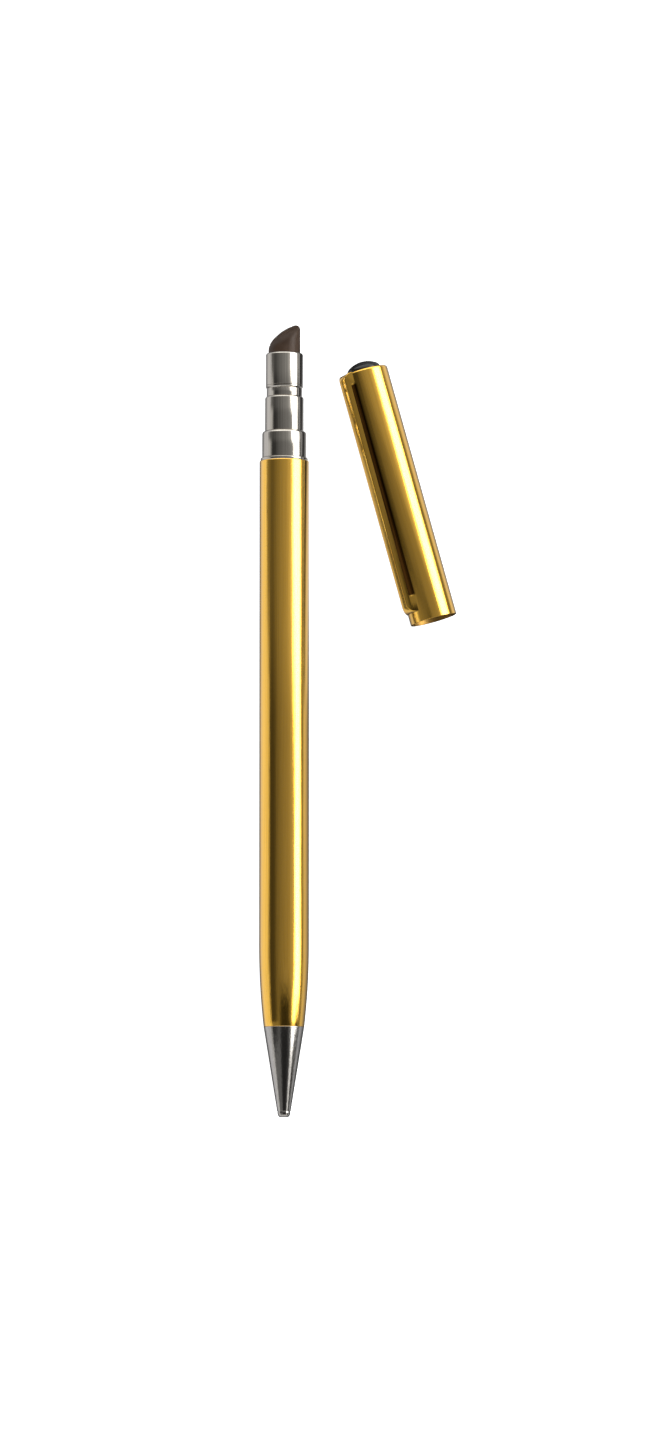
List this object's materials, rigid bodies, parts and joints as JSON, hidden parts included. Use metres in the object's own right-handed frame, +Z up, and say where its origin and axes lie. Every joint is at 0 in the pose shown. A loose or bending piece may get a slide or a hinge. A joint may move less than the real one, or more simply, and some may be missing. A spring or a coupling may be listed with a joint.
{
  "type": "lens cleaning pen",
  "caption": "Slim metal pen with a stepped head that holds a slanted suede lens cleaning tip, a conical nose with a twist-out refill, and a clip cap lying beside it.",
  "frame": {"origin": "on the pen's axis at the shoulder that the cap's mouth closes on", "axes": "+Y along the pen towards the cleaning tip, +X towards the cap that lies beside it, +Z up from the table"},
  "size_m": [0.0302, 0.1218, 0.0076],
  "materials": {
    "gold": "polished gold plate over brass, mirror bright",
    "chrome": "bright chrome plate",
    "dark_chrome": "dark smoked chrome plate",
    "steel": "turned steel",
    "brass": "turned brass, unplated",
    "suede": "dark brown suede with a short soft nap",
    "carbon_foam": "dense foam loaded with carbon powder",
    "black_gloss": "glossy black",
    "pale_plastic": "plain moulded",
    "dark_plastic": "plain moulded",
    "rubber": "nitrile rubber"
  },
  "bodies": {
    "barrel": {"barrel_tube": "gold", "nose_bush": "brass", "nose_cone": "dark_chrome", "guide_sleeve": "steel", "trim_ring": "chrome", "return_spring": "steel"},
    "head": {"collar": "chrome", "head_sleeve": "chrome", "tip_stud": "chrome", "tip_ferrule": "chrome", "tip_core": "pale_plastic", "cleaning_tip": "suede", "drive_spindle": "steel", "spindle_circlip": "steel", "drag_ring": "rubber"},
    "refill": {"refill_carrier": "pale_plastic", "carrier_pin": "steel", "refill_tube": "brass", "refill_point": "steel", "writing_ball": "steel"},
    "cap": {"cap_tube": "gold", "cap_plug": "brass", "cap_dome": "black_gloss", "cap_liner": "dark_plastic", "pad_cup": "pale_plastic", "carbon_pad": "carbon_foam"},
    "clip": {"clip": "gold"}
  },
  "joints": [
    {"name": "head_twist", "type": "hinge", "parent": "barrel", "child": "head", "pos_m": [0, 0, 0], "axis": [0, 1, 0], "range_deg": [0, 180]},
    {"name": "refill_slide", "type": "slide", "parent": "barrel", "child": "refill", "axis": [0, -1, 0], "range_m": [0, 0.0032], "deforming": ["return_spring"]},
    {"name": "cap_slide", "type": "slide", "parent": "barrel", "child": "cap", "axis": [-0.2672, 0.9636, 0], "range_m": [0, 0.04]},
    {"name": "clip_flex", "type": "hinge", "parent": "cap", "child": "clip", "pos_m": [0.00969, 0.01177, 0.00165], "axis": [-0.5106, -0.1416, -0.848], "range_deg": [0, 2.5], "stiffness_Nm_per_rad": 1.5}
  ],
  "couplings": [
    {"joint": "head_twist", "follows": "refill_slide", "rad_per_m": 981.74}
  ]
}
